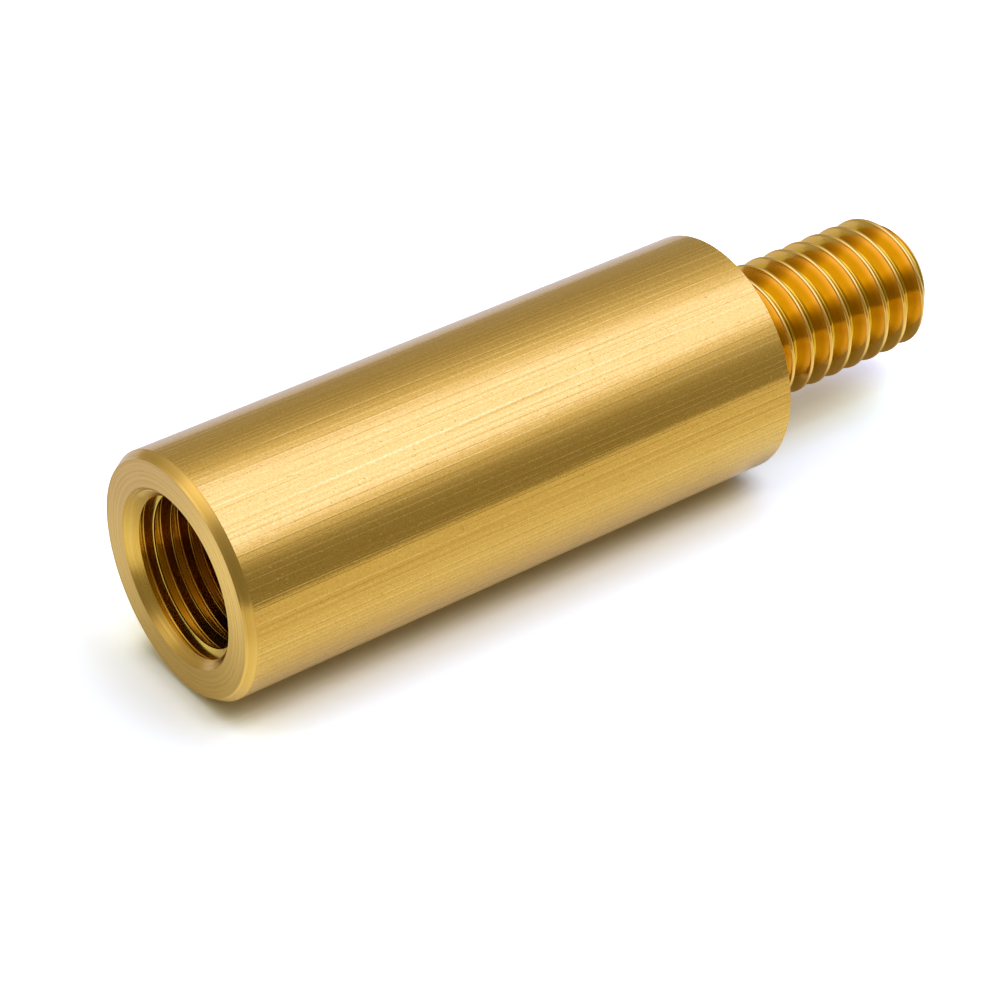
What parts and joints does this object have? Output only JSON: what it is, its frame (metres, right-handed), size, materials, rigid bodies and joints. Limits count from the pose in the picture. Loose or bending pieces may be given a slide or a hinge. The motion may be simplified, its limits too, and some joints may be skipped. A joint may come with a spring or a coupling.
{
  "type": "threaded spacer",
  "caption": "Round brass spacer turned in one piece, with a tapped socket in one end and a threaded stud on the other.",
  "frame": {"origin": "centre of the socket face, where the part stands", "axes": "+Z along the part's axis, from the socket face towards the stud"},
  "size_m": [0.0138, 0.0138, 0.0496],
  "materials": {
    "spacer": "drawn body with fine lines along it, turned end face and bevel, bright cut threads"
  },
  "bodies": {
    "root": {"spacer": "spacer"}
  },
  "joints": []
}
